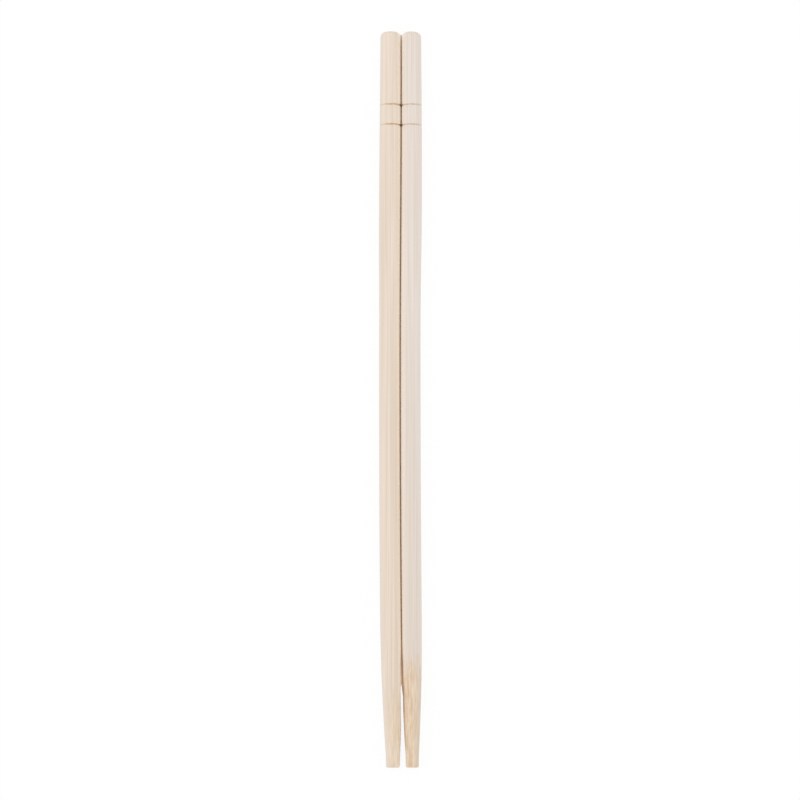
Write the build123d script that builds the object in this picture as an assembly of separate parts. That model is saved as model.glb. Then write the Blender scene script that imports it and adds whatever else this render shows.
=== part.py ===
from build123d import *
import math
import os

# A pair of disposable bamboo chopsticks, still joined as it is sold.
# Two round sticks are milled side by side from one strip of bamboo. A thin web in the cleft between them
# holds them together until they are pulled apart, and the tips are already split. So the pair is one solid.
# It lies on a table: +Y runs along it towards the blunt heads, +X across it, +Z up, in millimetres.
# The origin is on the table, under the middle of the pair. Every distance is measured from the head end.

# Length, and the places along it where the outline changes
length = 210.0
shoulder_distance = 53.0
shoulder_fall_length = 32.0
taper_length = 45.0

# Mean diameter of the two sticks: slim at the head, fullest at the shoulder, even from the waist on
# until the taper begins. The left stick is a little thicker than the right one, most of all at the tip.
head_diameter = 5.76
shoulder_diameter = 6.06
waist_diameter = 5.83
tip_diameter = 3.50
thickness_difference = 0.20
tip_difference = 0.32

# Cleft between the sticks, the web left in it, the split between the tips,
# and how much farther the web's torn end runs on along the right stick
cleft_width = 0.12
web_thickness = 1.00
web_inset = 0.80
split_length = 23.5
tear_length = 3.0
tip_gap = 1.93

# Natural bow of the bamboo: how far heads and tips drift sideways from the place where the pair runs true.
# The heads drift in a smooth step, the tips along a curve that bends more and more.
true_distance = 96.0
head_step_length = 78.0
head_drift = 0.29
tip_drift = 0.82

# Two rings scored round each stick as decoration
first_ring_distance = 21.4
ring_spacing = 5.8
ring_width = 0.50
ring_depth = 0.12

# Rounded edges of the domed heads and the cut tips
head_round = 1.50
tip_round = 0.55

# How far a cutter runs clear of the surface that it cuts
overrun = 0.20

# Round sections that each stick is lofted through, evenly spaced along the shaft and along the taper,
# and the powers of its curves
shaft_station_count = 22
taper_station_count = 6
taper_power = 2.4
split_power = 3.3
bow_power = 2.0

LEFT = -1
RIGHT = 1
ring_distances = [first_ring_distance, first_ring_distance + ring_spacing]
waist_distance = shoulder_distance + shoulder_fall_length
taper_distance = length - taper_length
shaft_stations = [taper_distance * i / shaft_station_count for i in range(shaft_station_count)]
taper_steps = range(taper_station_count + 1)
taper_stations = [taper_distance + taper_length * i / taper_station_count for i in taper_steps]


def taper_share(distance):
    """0 where the taper begins, 1 at the tip."""
    return max(0.0, (distance - taper_distance) / taper_length)


def mean_diameter(distance):
    """Mean diameter of the two sticks before the tips are tapered."""
    if distance < shoulder_distance:
        rise = math.sin(math.pi / 2 * distance / shoulder_distance)
        return head_diameter + (shoulder_diameter - head_diameter) * rise
    if distance < waist_distance:
        turn = math.pi * (distance - shoulder_distance) / shoulder_fall_length
        fall = (1 - math.cos(turn)) / 2
        return shoulder_diameter - (shoulder_diameter - waist_diameter) * fall
    return waist_diameter


def shaft_diameter(distance, side):
    """Diameter of one stick before its tip is tapered."""
    return mean_diameter(distance) - side * thickness_difference / 2


def stick_diameter(distance, side):
    """The taper leaves the shaft as a tangent and falls faster and faster to the tip."""
    shaft = shaft_diameter(distance, side)
    tip = tip_diameter - side * tip_difference / 2
    return shaft - (shaft - tip) * taper_share(distance) ** taper_power


def half_gap(distance):
    """From the middle of the pair to a stick's inner side: the cleft, and the split opening to the tips."""
    return (cleft_width + (tip_gap - cleft_width) * taper_share(distance) ** split_power) / 2


def bow(distance):
    """Sideways drift of the cleft."""
    if distance < true_distance:
        step_share = min(1.0, (true_distance - distance) / head_step_length)
        return head_drift * (1 - math.cos(math.pi * step_share)) / 2
    return tip_drift * ((distance - true_distance) / (length - true_distance)) ** bow_power


def axis_plane(distance, side):
    """Plane across one stick, centred on its axis. The shaft lies on the table and the tip tapers evenly.

    Its X points down, so each round section begins at the line that the stick rests on.
    """
    across = bow(distance) + side * (half_gap(distance) + stick_diameter(distance, side) / 2)
    height = shaft_diameter(distance, side) / 2
    return Plane(origin=(across, -distance, height), x_dir=(0, 0, -1), z_dir=(0, -1, 0))


def round_section(distance, side):
    return axis_plane(distance, side) * Circle(stick_diameter(distance, side) / 2)


def end_edges(stick, end):
    """Edges of the flat end face: 0 is the tip's, -1 the head's."""
    return stick.faces().filter_by(GeomType.PLANE).sort_by(Axis.Y)[end].edges()


def ring_cutter(distance, side):
    """A ring of V section, turned about the stick's axis. Its point reaches ring_depth into the stick."""
    radius = stick_diameter(distance, side) / 2
    half_mouth = ring_width / 2 * (ring_depth + overrun) / ring_depth
    outer = radius + overrun
    v_section = Polyline((radius - ring_depth, 0), (outer, half_mouth), (outer, -half_mouth), close=True)
    plane = axis_plane(distance, side)
    turning_plane = Plane(origin=plane.origin, x_dir=plane.x_dir, z_dir=plane.y_dir)
    axis = Axis(plane.origin, plane.z_dir)
    return revolve(turning_plane * make_face(v_section), axis=axis)


def make_stick(side):
    sections = [round_section(distance, side) for distance in shaft_stations + taper_stations]
    stick = loft(sections, ruled=True)
    stick = fillet(end_edges(stick, -1), head_round)
    stick = fillet(end_edges(stick, 0), tip_round)
    for distance in ring_distances:
        stick -= ring_cutter(distance, side)
    return stick


def make_web():
    """The slab between the sticks' axes, from just inside the heads to the split, where it ends slanted."""
    split_distance = length - split_length
    torn_distance = split_distance + tear_length
    reach = (waist_diameter + cleft_width) / 2
    on_left = (bow(split_distance) - half_gap(split_distance), -split_distance)
    on_right = (bow(torn_distance) + half_gap(torn_distance), -torn_distance)
    head_side = [(-reach, -web_inset), (reach, -web_inset)]
    torn_side = [(reach, -torn_distance), on_right, on_left, (-reach, -split_distance)]
    plan = make_face(Polyline(*head_side, *torn_side, close=True))
    return Pos(0, 0, waist_diameter / 2) * extrude(plan, web_thickness / 2, both=True)


def set_down(shape):
    """Moves the origin to the table, under the middle of the pair."""
    box = shape.bounding_box()
    middle = box.center()
    return Pos(-middle.X, -middle.Y, -box.min.Z) * shape


chopsticks = set_down(make_stick(LEFT) + make_stick(RIGHT) + make_web())

os.makedirs("parts", exist_ok=True)
export_step(chopsticks, "parts/joined_chopsticks.step")
print("volume", round(chopsticks.volume), "mm3, box", chopsticks.bounding_box())
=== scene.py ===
import math

import bmesh
import bpy
import numpy as np
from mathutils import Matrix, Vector, noise


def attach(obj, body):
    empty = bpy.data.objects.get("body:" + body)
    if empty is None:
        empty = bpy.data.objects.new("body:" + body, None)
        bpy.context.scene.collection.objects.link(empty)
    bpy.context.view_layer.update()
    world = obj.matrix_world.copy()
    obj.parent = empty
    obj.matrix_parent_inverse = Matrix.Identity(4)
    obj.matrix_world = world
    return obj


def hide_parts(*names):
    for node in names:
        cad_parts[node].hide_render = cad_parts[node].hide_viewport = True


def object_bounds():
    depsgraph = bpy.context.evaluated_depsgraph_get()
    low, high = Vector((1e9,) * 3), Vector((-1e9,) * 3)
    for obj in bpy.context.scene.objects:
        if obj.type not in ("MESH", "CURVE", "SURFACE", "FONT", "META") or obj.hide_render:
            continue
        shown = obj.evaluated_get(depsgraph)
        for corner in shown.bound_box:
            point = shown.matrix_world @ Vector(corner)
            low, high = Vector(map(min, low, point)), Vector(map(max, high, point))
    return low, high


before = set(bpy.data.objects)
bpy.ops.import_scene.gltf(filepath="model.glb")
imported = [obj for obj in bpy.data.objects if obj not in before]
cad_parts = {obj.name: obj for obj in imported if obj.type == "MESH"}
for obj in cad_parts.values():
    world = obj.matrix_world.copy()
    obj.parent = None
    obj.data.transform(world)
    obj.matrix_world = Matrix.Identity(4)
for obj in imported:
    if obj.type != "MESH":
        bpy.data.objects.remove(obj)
cad_low, cad_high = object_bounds()

# A pair of joined disposable bamboo chopsticks, lying on a white table and seen from above.
# All lengths are in metres. A distance is measured from the head end towards the tips, along -Y.
# Where a value differs between the sticks, it has two parts: the left stick's, then the right one's.
# A range or a reach has two parts as well: from where to where.

# Names in the frame
NODE = "joined_chopsticks"
BODY = "root"

# Which stick a part of a value belongs to, and which way along X each stick's inner side faces
LEFT = 0
RIGHT = 1
INWARD = (1, -1)

# Features of the solid that the mesh repeats
PAIR_LENGTH = cad_high.y - cad_low.y
RING_DISTANCES = (0.0214, 0.0272)
RING_WIDTH = 0.0005
RING_DEPTH = 0.00012
HEAD_ROUND = 0.0015
TIP_ROUND = 0.00055
WEB_INSET = 0.0008
SPLIT_LENGTH = 0.0235
TEAR_LENGTH = 0.003

# Saw cut that splits the tips: how far its flat sides stand from the middle of the cleft
SAW_CUT = (0.00040, 0.00026)

# Fineness of the mesh: columns round a stick and half of those that the web covers, then rows along
# a stick, over a rounded end and over a ring, the decimals to which rows are told apart, and rings on
# an end face
COLUMNS = 108
WEB_HALF_COLUMNS = 3
ROW_STEP = 0.00056
ROUND_ROWS = 10
RING_ROWS = 20
ROW_DECIMALS = 8
END_RINGS = 6

# How closely the solid is sliced to measure it, and the angle in degrees from which an edge stays sharp
MEASURE_STEP = 0.005
SHARP_ANGLE = 40.0

# Relief of the planed surface: height, and how long a strand is across and along the stick
STRANDS = ((0.000010, 0.0011, 0.070), (0.000006, 0.0005, 0.035))

# Sawn ends: height and size of their relief, how suddenly they begin at the rounded edge, and their turn,
# which is neither that of an inner line nor of an outer one
END_RELIEF = 0.000015
END_GRAIN_SIZE = 0.0004
END_POWER = 5
END_TURN = 0.5

# Unevenness of the scored rings, as shares of their width and depth, and its size round the stick.
# A length over which noise is even along the stick, and how far from a ring its stain can reach.
RING_WANDER_SHARE = 0.16
RING_WANDER_SIZE = 0.0012
RING_DEPTH_SHARE = 0.30
RING_DEPTH_SIZE = 0.0006
EVEN_LENGTH = 1.0
RING_ZONE = 0.0006

# Colours of the bamboo, as seen in plain white light
LIGHT = ((238, 223, 210), (235, 224, 216))
DARK = ((223, 206, 187), (222, 209, 197))
# Painted reflection: each stick's outer side is greyer, standing in for the white room mirrored at its rim
PAINTED_REFLECTION = ((230, 218, 208), (226, 217, 208))
# Painted light: a paler colour on the slopes of the cleft, set against the shade there
PAINTED_SLOPE_LIGHT = ((250, 236, 218), (249, 240, 230))
TAN_LIGHT = ((234, 216, 196), (236, 216, 193))
TAN_DARK = ((221, 199, 173), (214, 187, 156))
# Painted reflection on the outer rims of the tips
TAN_PAINTED_REFLECTION = ((230, 216, 203), (214, 198, 180))
SPECK = (196, 164, 126)
RING_BROWN = (192, 146, 88)
# Partly the wood's own brown, partly painted shade of the narrow cleft; warmer near the split
CLEFT_STAIN_AND_SHADE = (136, 95, 28)
SPLIT_STAIN_AND_SHADE = (178, 123, 50)
# Painted shade in the hollow where a ring crosses the cleft
CROSSING_SHADE = (126, 92, 58)
END_TAN = (222, 200, 170)
END_DOT = (176, 140, 98)

# Grain of the material: size across and along the stick, and how far apart its strands lie
BAND_GRAIN = (0.0016, 0.160)
FIBRE_GRAIN = (0.00040, 0.060)
HAIR_GRAIN = (0.00013, 0.022)
DASH_GRAIN = (0.00028, 0.0035)
MOTTLE_GRAIN = (0.00055, 0.0045)
STRAND_SPACING = 0.00045
GRAIN_DETAIL = 2.0
FIBRE_DETAIL = 3.0

# How the grain shows in the colour. Its noise runs from 0 to 1, mostly near the middle. Each kind rises
# over a range of it, and specks up to a share. The streaks are part bands, and the rest fibres.
NOISE_MIDDLE = 0.5
BAND_SHARE = 0.4
STREAK_RANGE = (0.38, 0.62)
HAIR_RANGE = (0.60, 0.80)
HAIR_SHARE = 0.22
MOTTLE_RANGE = (0.35, 0.65)
DASH_RANGE = (0.55, 0.80)
DASH_SHARE = 0.35

# The shafts darken a little towards the tips, between two distances.
# Where the tapered tips then turn tan, over what length, and how raggedly.
DARKEN_RANGE = (0.080, 0.178)
DARKEN_SHARE = (0.12, 0.42)
TAN_START = (0.186, 0.1765)
TAN_FADE = (0.013, 0.010)
TAN_RAGGED = 0.014

# Reaches are in degrees round the stick from its inner line, and so are the starts and ends here.
# The outer side is greyer, a painted reflection of the white room at the rim, and more of it at the tips.
# The slopes of the cleft are paler, painted light against their shade, and at the tips the left stick
# keeps more of that than the right one.
REFLECTION_REACH = (118.0, 168.0)
TAN_REFLECTION_REACH = (75.0, 160.0)
REFLECTION_SHARE = 0.9
SLOPE_LIGHT_START = 16.0
SLOPE_LIGHT_END = (55.0, 75.0)
SLOPE_LIGHT_TIP_SHARE = (0.6, 0.3)

# Stain and painted shade of the cleft, partly the wood's own brown and partly painted shade between
# the sticks: full where its reach begins and gone where it ends. It is weak at the head, as painted light
# where light enters the cleft from the end, and full farther in. Near the split it widens, turns warmer
# and runs out.
CLEFT_REACH = (6.0, 22.0)
CLEFT_TIP_REACH = (9.0, 48.0)
CLEFT_WIDEN_RANGE = (0.176, 0.190)
CLEFT_WARM_RANGE = (0.168, 0.186)
CLEFT_HEAD_SHARE = 0.2
CLEFT_HEAD_LENGTH = 0.004
CLEFT_RUN_OUT_START = (0.180, 0.186)
CLEFT_RUN_OUT = (0.006, 0.023)

# Stain and painted shade of the web, deep in the cleft: how soon it rises from the sticks, where it
# weakens towards the torn end, and from what share to what
WEB_STAIN_AND_SHADE_RISE = 0.05
WEB_FADE_RANGE = (0.171, 0.187)
WEB_SHARE_RANGE = (0.75, 0.40)

# Brown of a ring: where it rises from the edge of its zone to the middle, how fibres break it, its
# strength, where in degrees it fades towards the outer side, and how much of it stays there.
# Then the painted shade where it crosses the cleft.
SCORE_RANGE = (0.35, 0.95)
BREAK_RANGE = (0.35, 0.60)
BREAK_SHARE = 0.45
RING_STRENGTH = (0.93, 0.6)
RING_FADE_START = (85.0, 110.0)
RING_FADE_END = (150.0, 180.0)
RING_OUTER_SHARE = 0.25
CROSSING_RANGE = (0.1, 0.7)
CROSSING_REACH = (10.0, 36.0)

# Colour of the sawn ends: share of tan, and where the dots of their strands fade, from what share
END_TAN_SHARE = 0.8
DOT_RANGE = (0.20, 0.45)
DOT_SHARE = 0.7

# Bare, matt surface: height of its bumps and what the hairs add, roughness over a range of the fibres'
# noise, and reflection, where 0.5 is that of a polished surface
BUMP_HEIGHT = 0.00002
HAIR_BUMP_SHARE = 0.5
FIBRE_RANGE = (0.3, 0.7)
ROUGHNESS_RANGE = (0.5, 0.65)
SPECULAR = 0.2

# Camera: above the tips and tilted a little towards the heads. It looks close to the middle of the pair.
CAMERA_DISTANCE = 1.0
CAMERA_TILT = 6.3
SENSOR = 36.0
PICTURE_WIDTH = 0.2271
VIEW_CENTRE = (-0.00012, -0.0012)

# Light: an even white room and a weak soft lamp on the left. The camera sees the floor mostly as glow.
WHITE = (1.0, 1.0, 1.0, 1.0)
ROOM_LIGHT = 1.0
LAMP_PLACE = (-0.6, 0.1, 0.7)
LAMP_SIZE = 0.6
LAMP_WATTS = 0.3
FLOOR_SIZE = 4.0
FLOOR_GLOW_SHARE = 0.91


def measure_sticks():
    """Distances along the pair, and there each stick's axis and radius, sliced from the solid."""
    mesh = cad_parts[NODE].data
    points = np.empty(len(mesh.vertices) * 3)
    mesh.vertices.foreach_get("co", points)
    points = points.reshape(-1, 3)
    edges = np.empty(len(mesh.edges) * 2, dtype=int)
    mesh.edges.foreach_get("vertices", edges)
    start, end = points[edges.reshape(-1, 2).T]

    # The slices keep clear of the rounded ends and the rings
    inset = 2 * max(HEAD_ROUND, TIP_ROUND)
    count = round(PAIR_LENGTH / MEASURE_STEP)
    distances = [
        distance
        for distance in np.linspace(inset, PAIR_LENGTH - inset, count)
        if all(abs(distance - ring) > RING_WIDTH for ring in RING_DISTANCES)
    ]
    sticks = {LEFT: [], RIGHT: []}
    for distance in distances:
        y = cad_high.y - distance
        crossing = (start[:, 1] - y) * (end[:, 1] - y) < 0
        low, high = start[crossing], end[crossing]
        share = (y - low[:, 1]) / (high[:, 1] - low[:, 1])
        cut = low + (high - low) * share[:, None]
        middle = (cut[:, 0].min() + cut[:, 0].max()) / 2
        for side, own in ((LEFT, cut[cut[:, 0] < middle]), (RIGHT, cut[cut[:, 0] > middle])):
            bottom, top = own[:, 2].min(), own[:, 2].max()
            radius = (top - bottom) / 2
            across = own[:, 0].min() + radius if side == LEFT else own[:, 0].max() - radius
            sticks[side].append((across, (top + bottom) / 2, radius))
    return np.array(distances), {side: np.array(rows) for side, rows in sticks.items()}


def smooth_curve(known_at, values, at):
    """Cubic through known values, each slope taken from its neighbours."""
    slopes = np.gradient(values, known_at)
    i = np.clip(np.searchsorted(known_at, at) - 1, 0, len(known_at) - 2)
    span = known_at[i + 1] - known_at[i]
    t = np.clip((at - known_at[i]) / span, 0, 1)
    ahead = t * t * (3 - 2 * t)
    leaving = t * (1 - t) ** 2 * span * slopes[i]
    arriving = t * t * (t - 1) * span * slopes[i + 1]
    return values[i] * (1 - ahead) + values[i + 1] * ahead + leaving + arriving


def row_distances():
    """Rows of the mesh: even along the sticks, closer at the rings and the rounded ends."""
    turns = np.linspace(0, math.pi / 2, ROUND_ROWS + 1)
    head = HEAD_ROUND * (1 - np.cos(turns))
    tip = PAIR_LENGTH - TIP_ROUND * (1 - np.cos(turns))
    rings = [np.linspace(ring - RING_ZONE, ring + RING_ZONE, RING_ROWS + 1) for ring in RING_DISTANCES]
    split = PAIR_LENGTH - SPLIT_LENGTH
    web_ends = [WEB_INSET, split, split + TEAR_LENGTH]
    even = np.linspace(HEAD_ROUND, PAIR_LENGTH - TIP_ROUND, round(PAIR_LENGTH / ROW_STEP))
    apart = [abs(even - ring) > RING_ZONE + ROW_STEP / 2 for ring in RING_DISTANCES]
    apart += [abs(even - web_end) > ROW_STEP / 2 for web_end in web_ends]
    even = even[np.all(apart, axis=0)]
    return np.unique(np.concatenate([head, tip, even, web_ends, *rings]).round(ROW_DECIMALS))


def end_inset(distance):
    """How far the rounded edges draw the surface in, near either end."""
    for to_end, size in ((distance, HEAD_ROUND), (PAIR_LENGTH - distance, TIP_ROUND)):
        if to_end < size:
            return size - math.sqrt(size ** 2 - (size - to_end) ** 2)
    return 0.0


def end_share(distance):
    """How far the rounded edges have turned towards the end faces: 0 where they begin, 1 at the face."""
    from_head = 1 - distance / HEAD_ROUND
    from_tip = 1 - (PAIR_LENGTH - distance) / TIP_ROUND
    return max(0.0, from_head, from_tip)


def stretched_noise(place, across, along):
    return noise.noise(Vector((place.x / across, place.y / along, place.z / across)))


def strand_relief(place):
    return sum(height * stretched_noise(place, across, along) for height, across, along in STRANDS)


def ring_offset(place, distance):
    """How far a place is from the nearest scored ring, along the stick. The cut wanders a little."""
    wander = RING_WANDER_SHARE * RING_WIDTH * stretched_noise(place, RING_WANDER_SIZE, EVEN_LENGTH)
    return min(abs(distance - ring - wander) for ring in RING_DISTANCES)


def ring_depth(place, offset):
    """Depth of the V cut, a little shallower or deeper from fibre to fibre."""
    uneven = 1 + RING_DEPTH_SHARE * stretched_noise(place, RING_DEPTH_SIZE, EVEN_LENGTH)
    return RING_DEPTH * uneven * max(0.0, 1 - offset / (RING_WIDTH / 2))


def add_object(name, data):
    made = bpy.data.objects.new(name, data)
    bpy.context.collection.objects.link(made)
    return made


class PairMesh:
    """Vertices, faces and surface values of the pair, gathered row by row.

    side is 0 on the left stick, 1 on the right one. turn is 0 on a stick's inner line, 1 on its outer one.
    ring is 1 in the middle of a scored ring and 0 outside its zone.
    end is 1 on the sawn end faces and falls to 0 round their edges.
    """

    def __init__(self):
        self.vertices = []
        self.faces = []
        self.values = {"side": [], "turn": [], "ring": [], "end": []}

    def add_vertex(self, place, **values):
        self.vertices.append(place)
        for name, kept in self.values.items():
            kept.append(values.get(name, 0.0))
        return len(self.vertices) - 1

    def add_strip(self, first, second, columns):
        """Quads between two rows, from each listed column to the next one round."""
        for column in columns:
            following = (column + 1) % COLUMNS
            self.faces.append((first[column], first[following], second[following], second[column]))

    def to_object(self, name):
        mesh = bpy.data.meshes.new(name)
        mesh.from_pydata(self.vertices, [], self.faces)
        for value_name, values in self.values.items():
            mesh.attributes.new(value_name, "FLOAT", "POINT").data.foreach_set("value", values)
        shape = bmesh.new()
        shape.from_mesh(mesh)
        bmesh.ops.recalc_face_normals(shape, faces=shape.faces)
        shape.to_mesh(mesh)
        shape.free()
        mesh.shade_smooth()
        mesh.set_sharp_from_angle(angle=math.radians(SHARP_ANGLE))
        return add_object(name, mesh)


def column_turn(column):
    """0 at column 0, which is a stick's inner line, and 1 at the column opposite."""
    return min(column, COLUMNS - column) / (COLUMNS / 2)


def add_stick(pair, side, distances, axis, limits):
    """Rows of one stick's surface, from head to tip. Column 0 is its inner line, facing the other stick.

    In each row the surface is cut flat where it would reach past the row's limit towards the other stick.
    """
    inward = INWARD[side]
    rows = []
    for distance, (across, height, radius), limit in zip(distances, axis, limits):
        end = end_share(distance) ** END_POWER
        row = []
        for column in range(COLUMNS):
            angle = math.tau * column / COLUMNS
            out = Vector((inward * math.cos(angle), 0, math.sin(angle)))
            place = Vector((across, cad_high.y - distance, height)) + out * radius
            offset = ring_offset(place, distance)
            inset = end_inset(distance) + ring_depth(place, offset) - strand_relief(place)
            place -= out * inset
            if (place.x - limit) * inward > 0:
                place.x = limit
            ring = max(0.0, 1 - offset / RING_ZONE)
            row.append(pair.add_vertex(place, side=side, turn=column_turn(column), ring=ring, end=end))
        rows.append(row)
    return rows


def add_end(pair, side, row, axis, y):
    """Sawn end face: rings of vertices from the rounded edge to the middle."""
    across, height, _ = axis
    middle = Vector((across, y, height))
    outer = row
    for ring in range(1, END_RINGS):
        share = 1 - ring / END_RINGS
        inner = []
        for column in range(COLUMNS):
            place = middle + (pair.vertices[row[column]] - middle) * share
            place.y = y + END_RELIEF * stretched_noise(place, END_GRAIN_SIZE, EVEN_LENGTH)
            inner.append(pair.add_vertex(place, side=side, turn=END_TURN, end=1.0))
        pair.add_strip(outer, inner, range(COLUMNS))
        outer = inner
    centre = pair.add_vertex(middle, side=side, turn=END_TURN, end=1.0)
    for column in range(COLUMNS):
        pair.faces.append((outer[column], outer[(column + 1) % COLUMNS], centre))


def join_sticks(pair, left_rows, right_rows, first, last):
    """The web: a top and an underside between the sticks, closed at both ends.

    It begins at one row on both sticks and ends in a slant: its last row is farther on along the right one.
    """
    for edge in (WEB_HALF_COLUMNS, COLUMNS - WEB_HALF_COLUMNS):
        for index in range(first, last[LEFT]):
            here, there = left_rows[index][edge], right_rows[index][edge]
            pair.faces.append((here, there, right_rows[index + 1][edge], left_rows[index + 1][edge]))
        corner = left_rows[last[LEFT]][edge]
        for index in range(last[LEFT], last[RIGHT]):
            pair.faces.append((corner, right_rows[index][edge], right_rows[index + 1][edge]))
    head_end = (left_rows[first], right_rows[first])
    torn_end = (left_rows[last[LEFT]], right_rows[last[RIGHT]])
    for left, right in (head_end, torn_end):
        for column in range(-WEB_HALF_COLUMNS, WEB_HALF_COLUMNS):
            pair.faces.append((left[column], left[column + 1], right[column + 1], right[column]))


def nearest_row(distances, wanted):
    return int(np.argmin(abs(distances - wanted)))


def make_pair():
    """Both sticks and the web in the cleft between them, as one closed surface."""
    distances = row_distances()
    split = PAIR_LENGTH - SPLIT_LENGTH
    first = nearest_row(distances, WEB_INSET)
    last = [nearest_row(distances, split), nearest_row(distances, split + TEAR_LENGTH)]
    known_at, sections = measure_sticks()
    axes = {
        side: np.stack([smooth_curve(known_at, values, distances) for values in sections[side].T], axis=1)
        for side in (LEFT, RIGHT)
    }
    cleft = (axes[LEFT][:, 0] + axes[LEFT][:, 2] + axes[RIGHT][:, 0] - axes[RIGHT][:, 2]) / 2
    bare = range(WEB_HALF_COLUMNS, COLUMNS - WEB_HALF_COLUMNS)
    pair = PairMesh()
    sticks = {}
    for side in (LEFT, RIGHT):
        axis = axes[side]
        inward = INWARD[side]
        split_rows = np.arange(len(distances)) > last[side]
        limits = np.where(split_rows, cleft - inward * SAW_CUT[side], inward * math.inf)
        rows = add_stick(pair, side, distances, axis, limits)
        for index in range(len(rows) - 1):
            columns = bare if first <= index < last[side] else range(COLUMNS)
            pair.add_strip(rows[index], rows[index + 1], columns)
        add_end(pair, side, rows[0], axis[0], cad_high.y)
        add_end(pair, side, rows[-1], axis[-1], cad_low.y)
        sticks[side] = rows
    join_sticks(pair, sticks[LEFT], sticks[RIGHT], first, last)
    return pair.to_object("bamboo_pair")


def linear(colour):
    """Red, green and blue as seen, 0 to 255, turned into a shader's linear colour by the sRGB formula."""
    shares = [value / 255 for value in colour]
    return (*[s / 12.92 if s <= 0.04045 else ((s + 0.055) / 1.055) ** 2.4 for s in shares], 1.0)


class Graph:
    """Short calls for wiring a node tree."""

    def __init__(self, tree):
        self.tree = tree
        tree.nodes.clear()

    def node(self, kind, inputs=None, **settings):
        made = self.tree.nodes.new(kind)
        for name, value in settings.items():
            setattr(made, name, value)
        for key, value in (inputs or {}).items():
            if isinstance(value, bpy.types.NodeSocket):
                self.tree.links.new(value, made.inputs[key])
            else:
                made.inputs[key].default_value = value
        return made

    def math(self, operation, a, b):
        return self.node("ShaderNodeMath", {0: a, 1: b}, operation=operation).outputs[0]

    def times(self, first, *others):
        for other in others:
            first = self.math("MULTIPLY", first, other)
        return first

    def value(self, name):
        """A value that the mesh holds at each vertex."""
        return self.node("ShaderNodeAttribute", attribute_name=name).outputs["Fac"]

    def mix(self, factor, a, b, clamp=True):
        """Colour a where factor is 0, b where it is 1. Without clamp, a factor over 1 goes on beyond b."""
        inputs = {0: factor, 6: a, 7: b}
        return self.node("ShaderNodeMix", inputs, data_type="RGBA", clamp_factor=clamp).outputs[2]

    def between(self, value, low, high, to_low=0.0, to_high=1.0, smooth=False):
        """Maps low..high to to_low..to_high, and stays there outside."""
        kind = "SMOOTHSTEP" if smooth else "LINEAR"
        inputs = {0: value, 1: low, 2: high, 3: to_low, 4: to_high}
        return self.node("ShaderNodeMapRange", inputs, interpolation_type=kind).outputs[0]

    def grain(self, place, size, detail=GRAIN_DETAIL):
        """Noise drawn out along the stick."""
        across, along = size
        scale = (1 / across, 1 / along, 1 / across)
        moved = self.node("ShaderNodeMapping", {"Vector": place, "Scale": scale}).outputs[0]
        return self.node("ShaderNodeTexNoise", {"Vector": moved, "Scale": 1.0, "Detail": detail}).outputs[0]

    def strands(self, place, spacing):
        """0 on the middle of each of many scattered strands along the stick, and more away from them."""
        scale = (1 / spacing, 0.0, 1 / spacing)
        moved = self.node("ShaderNodeMapping", {"Vector": place, "Scale": scale}).outputs[0]
        return self.node("ShaderNodeTexVoronoi", {"Vector": moved, "Scale": 1.0}).outputs["Distance"]


class Surface:
    """What the bamboo's colours depend on, at each point of the surface.

    It holds where the point lies along and round a stick, the mesh's values there, and the grain.
    turn is in degrees here, and slope is 1 on the slopes of the cleft, where painted light pales them.
    """

    def __init__(self, graph):
        self.graph = graph
        place = graph.node("ShaderNodeTexCoord").outputs["Object"]
        along = graph.node("ShaderNodeSeparateXYZ", {0: place}).outputs["Y"]
        self.distance = graph.math("SUBTRACT", cad_high.y, along)
        self.side = graph.value("side")
        self.ring = graph.value("ring")
        self.end = graph.value("end")
        self.turn = graph.times(graph.value("turn"), math.degrees(math.pi))
        # Painted light: 1 on the slopes of the cleft, which the paler colour brightens
        self.slope = graph.between(self.turn, SLOPE_LIGHT_START, self.side_value(SLOPE_LIGHT_END), 1.0, 0.0, smooth=True)
        self.bands = graph.grain(place, BAND_GRAIN)
        self.fibres = graph.grain(place, FIBRE_GRAIN, FIBRE_DETAIL)
        self.hairs = graph.grain(place, HAIR_GRAIN)
        self.dashes = graph.grain(place, DASH_GRAIN)
        self.mottle = graph.grain(place, MOTTLE_GRAIN)
        self.strands = graph.strands(place, STRAND_SPACING)

    def side_value(self, values):
        """The left stick's value or the right one's. On the web it changes from one to the other."""
        return self.graph.between(self.side, 0.0, 1.0, *values)

    def side_colour(self, colours):
        return self.graph.mix(self.side, linear(colours[LEFT]), linear(colours[RIGHT]))


def planed_colour(graph, at):
    """Planed shafts: faint bands and fibres, painted light paling the cleft's slopes, painted greyer rim.
    """
    grain = graph.math("ADD", graph.times(at.bands, BAND_SHARE), graph.times(at.fibres, 1 - BAND_SHARE))
    darken = graph.times(graph.between(at.distance, *DARKEN_RANGE), at.side_value(DARKEN_SHARE))
    depth = graph.math("ADD", graph.between(grain, *STREAK_RANGE), darken)
    colour = graph.mix(depth, at.side_colour(LIGHT), at.side_colour(DARK), clamp=False)
    colour = graph.mix(graph.between(at.hairs, *HAIR_RANGE, 0.0, HAIR_SHARE), colour, linear(SPECK))
    # Painted light on the slopes of the cleft
    colour = graph.mix(at.slope, colour, at.side_colour(PAINTED_SLOPE_LIGHT))
    # Painted reflection: the outer side is greyer, as if it mirrored the white room
    edge = graph.between(at.turn, *REFLECTION_REACH, 0.0, REFLECTION_SHARE, smooth=True)
    return graph.mix(edge, colour, at.side_colour(PAINTED_REFLECTION))


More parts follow.
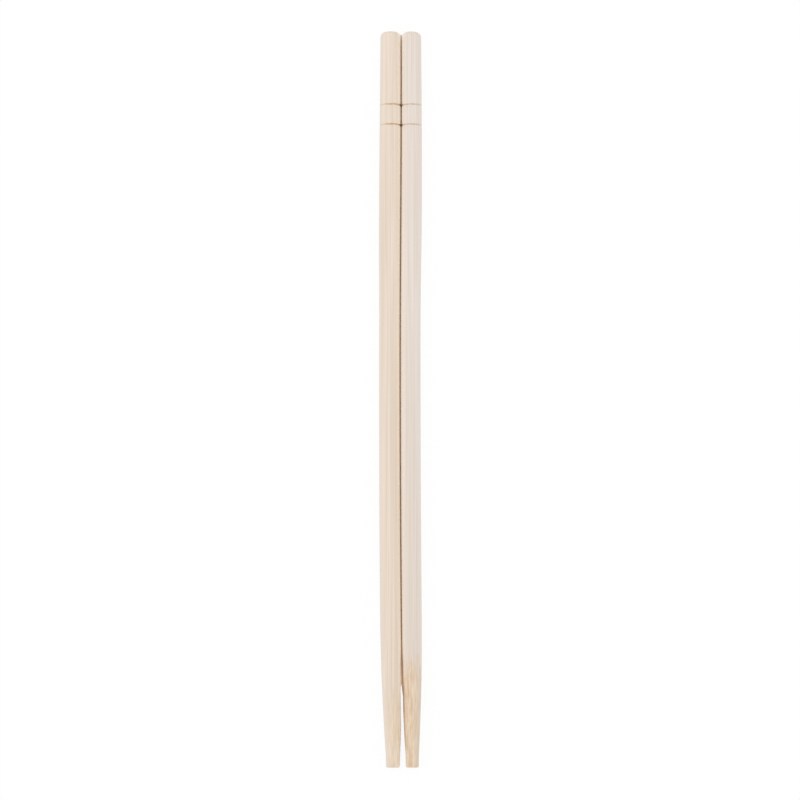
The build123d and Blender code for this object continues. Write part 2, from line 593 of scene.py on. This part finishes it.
def tan_colour(graph, at):
    """Tapered tips: cut across the fibres, so tan and mottled, with painted slope light and greyer rim."""
    mottle = graph.between(at.mottle, *MOTTLE_RANGE)
    colour = graph.mix(mottle, at.side_colour(TAN_LIGHT), at.side_colour(TAN_DARK))
    colour = graph.mix(graph.between(at.dashes, *DASH_RANGE, 0.0, DASH_SHARE), colour, linear(SPECK))
    # Painted light on the slopes of the cleft at the tips
    colour = graph.mix(graph.times(at.slope, at.side_value(SLOPE_LIGHT_TIP_SHARE)), colour, at.side_colour(PAINTED_SLOPE_LIGHT))
    # Painted reflection on the outer side of the tips
    edge = graph.between(at.turn, *TAN_REFLECTION_REACH, 0.0, REFLECTION_SHARE, smooth=True)
    return graph.mix(edge, colour, at.side_colour(TAN_PAINTED_REFLECTION))


def tan_share(graph, at):
    """1 on the tips and 0 on the shafts, with a ragged change between them."""
    ragged = graph.times(graph.math("SUBTRACT", at.mottle, NOISE_MIDDLE), TAN_RAGGED)
    past = graph.math("ADD", graph.math("SUBTRACT", at.distance, at.side_value(TAN_START)), ragged)
    return graph.between(graph.math("DIVIDE", past, at.side_value(TAN_FADE)), 0.0, 1.0, smooth=True)


def stain_and_shade_cleft(graph, at, colour):
    """Stain and painted shade of the cleft: weak at the head, wider, warmer and running out near the split.

    The web lies where side is neither 0 nor 1, and has a strength of its own.
    """
    spans = zip(CLEFT_REACH, CLEFT_TIP_REACH)
    reach = [graph.between(at.distance, *CLEFT_WIDEN_RANGE, *span) for span in spans]
    # The cleft's brown: partly stain, partly painted shade between the sticks
    stain_and_shade = graph.between(at.turn, *reach, 1.0, 0.0, smooth=True)
    past = graph.math("SUBTRACT", at.distance, at.side_value(CLEFT_RUN_OUT_START))
    run_out = graph.math("DIVIDE", past, at.side_value(CLEFT_RUN_OUT))
    run_out = graph.between(run_out, 0.0, 1.0, 1.0, 0.0, smooth=True)
    web = graph.between(graph.times(at.side, graph.math("SUBTRACT", 1.0, at.side)), 0.0, WEB_STAIN_AND_SHADE_RISE)
    on_sticks = graph.times(stain_and_shade, run_out, graph.math("SUBTRACT", 1.0, web))
    on_web = graph.times(web, graph.between(at.distance, *WEB_FADE_RANGE, *WEB_SHARE_RANGE))
    # Painted light: weaker at the head, where light enters the cleft from the end
    from_head = graph.between(at.distance, 0.0, CLEFT_HEAD_LENGTH, CLEFT_HEAD_SHARE, 1.0)
    warmth = graph.between(at.distance, *CLEFT_WARM_RANGE)
    brown = graph.mix(warmth, linear(CLEFT_STAIN_AND_SHADE), linear(SPLIT_STAIN_AND_SHADE))
    return graph.mix(graph.times(graph.math("ADD", on_sticks, on_web), from_head), colour, brown)


def darken_rings(graph, at, colour):
    """Scored rings, broken by fibres, faint on the outer side; painted shade where they cross the cleft."""
    score = graph.between(at.ring, *SCORE_RANGE, smooth=True)
    broken = graph.between(at.dashes, *BREAK_RANGE, BREAK_SHARE, 1.0)
    fade_start, fade_end = at.side_value(RING_FADE_START), at.side_value(RING_FADE_END)
    outer = graph.between(at.turn, fade_start, fade_end, 1.0, RING_OUTER_SHARE, smooth=True)
    strength = graph.times(score, broken, outer, at.side_value(RING_STRENGTH))
    colour = graph.mix(strength, colour, linear(RING_BROWN))
    # Painted shade where the ring crosses the cleft
    near_ring = graph.between(at.ring, *CROSSING_RANGE, smooth=True)
    crossing = graph.between(at.turn, *CROSSING_REACH, 1.0, 0.0, smooth=True)
    return graph.mix(graph.times(near_ring, crossing), colour, linear(CROSSING_SHADE))


def colour_ends(graph, at, colour):
    """Sawn ends: tan, with the dots of the cut strands."""
    colour = graph.mix(graph.times(at.end, END_TAN_SHARE), colour, linear(END_TAN))
    dots = graph.between(at.strands, *DOT_RANGE, DOT_SHARE, 0.0, smooth=True)
    return graph.mix(graph.times(at.end, dots), colour, linear(END_DOT))


def new_material(name):
    material = bpy.data.materials.new(name)
    material.use_nodes = True
    return material, Graph(material.node_tree)


def make_bamboo():
    material, graph = new_material("bamboo")
    at = Surface(graph)
    colour = graph.mix(tan_share(graph, at), planed_colour(graph, at), tan_colour(graph, at))
    for add_layer in (stain_and_shade_cleft, darken_rings, colour_ends):
        colour = add_layer(graph, at, colour)
    height = graph.math("ADD", at.fibres, graph.times(at.hairs, HAIR_BUMP_SHARE))
    bump = graph.node("ShaderNodeBump", {"Height": height, "Distance": BUMP_HEIGHT, "Strength": 1.0})
    surface = {
        "Base Color": colour,
        "Roughness": graph.between(at.fibres, *FIBRE_RANGE, *ROUGHNESS_RANGE),
        "Specular IOR Level": SPECULAR,
        "Normal": bump.outputs[0],
    }
    shader = graph.node("ShaderNodeBsdfPrincipled", surface)
    graph.node("ShaderNodeOutputMaterial", {"Surface": shader.outputs[0]})
    return material


def make_table_white():
    """Matt white. What the camera sees of it is mostly glow, so that the picture's ground is white."""
    material, graph = new_material("floor")
    path = graph.node("ShaderNodeLightPath").outputs
    seen = graph.math("MAXIMUM", path["Is Camera Ray"], path["Is Glossy Ray"])
    seen = graph.math("MAXIMUM", seen, path["Is Transmission Ray"])
    matt = graph.node("ShaderNodeBsdfDiffuse", {"Color": WHITE})
    glow = graph.node("ShaderNodeEmission", {"Color": WHITE, "Strength": 1.0})
    share = graph.times(seen, FLOOR_GLOW_SHARE)
    shader = graph.node("ShaderNodeMixShader", {0: share, 1: matt.outputs[0], 2: glow.outputs[0]})
    graph.node("ShaderNodeOutputMaterial", {"Surface": shader.outputs[0]})
    return material


def make_floor():
    half = FLOOR_SIZE / 2
    corners = [(-half, -half, 0), (half, -half, 0), (half, half, 0), (-half, half, 0)]
    mesh = bpy.data.meshes.new("floor")
    mesh.from_pydata(corners, [], [(0, 1, 2, 3)])
    mesh.materials.append(make_table_white())
    return add_object("floor", mesh)


def light_scene():
    """An even white room and a weak soft lamp, turned towards the pair."""
    world = bpy.data.worlds.new("room")
    world.use_nodes = True
    bpy.context.scene.world = world
    graph = Graph(world.node_tree)
    room = graph.node("ShaderNodeBackground", {"Color": WHITE, "Strength": ROOM_LIGHT})
    graph.node("ShaderNodeOutputWorld", {"Surface": room.outputs[0]})
    data = bpy.data.lights.new("lamp", "AREA")
    data.size = LAMP_SIZE
    data.energy = LAMP_WATTS
    lamp = add_object("lamp", data)
    lamp.location = LAMP_PLACE
    lamp.rotation_euler = (-Vector(LAMP_PLACE)).to_track_quat("-Z", "Y").to_euler()


def place_camera():
    """Looks down. The picture shows its stated width at half the height of the pair."""
    data = bpy.data.cameras.new("camera")
    data.sensor_width = SENSOR
    data.lens = SENSOR * CAMERA_DISTANCE / PICTURE_WIDTH
    camera = add_object("camera", data)
    tilt = math.radians(CAMERA_TILT)
    middle = Vector((*VIEW_CENTRE, (cad_low.z + cad_high.z) / 2))
    camera.location = middle + CAMERA_DISTANCE * Vector((0, -math.sin(tilt), math.cos(tilt)))
    camera.rotation_euler = (tilt, 0, 0)
    bpy.context.scene.camera = camera


piece = make_pair()
piece.data.materials.append(make_bamboo())
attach(piece, BODY)
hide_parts(NODE)
make_floor()
light_scene()
place_camera()
bpy.context.scene.view_settings.view_transform = "Standard"
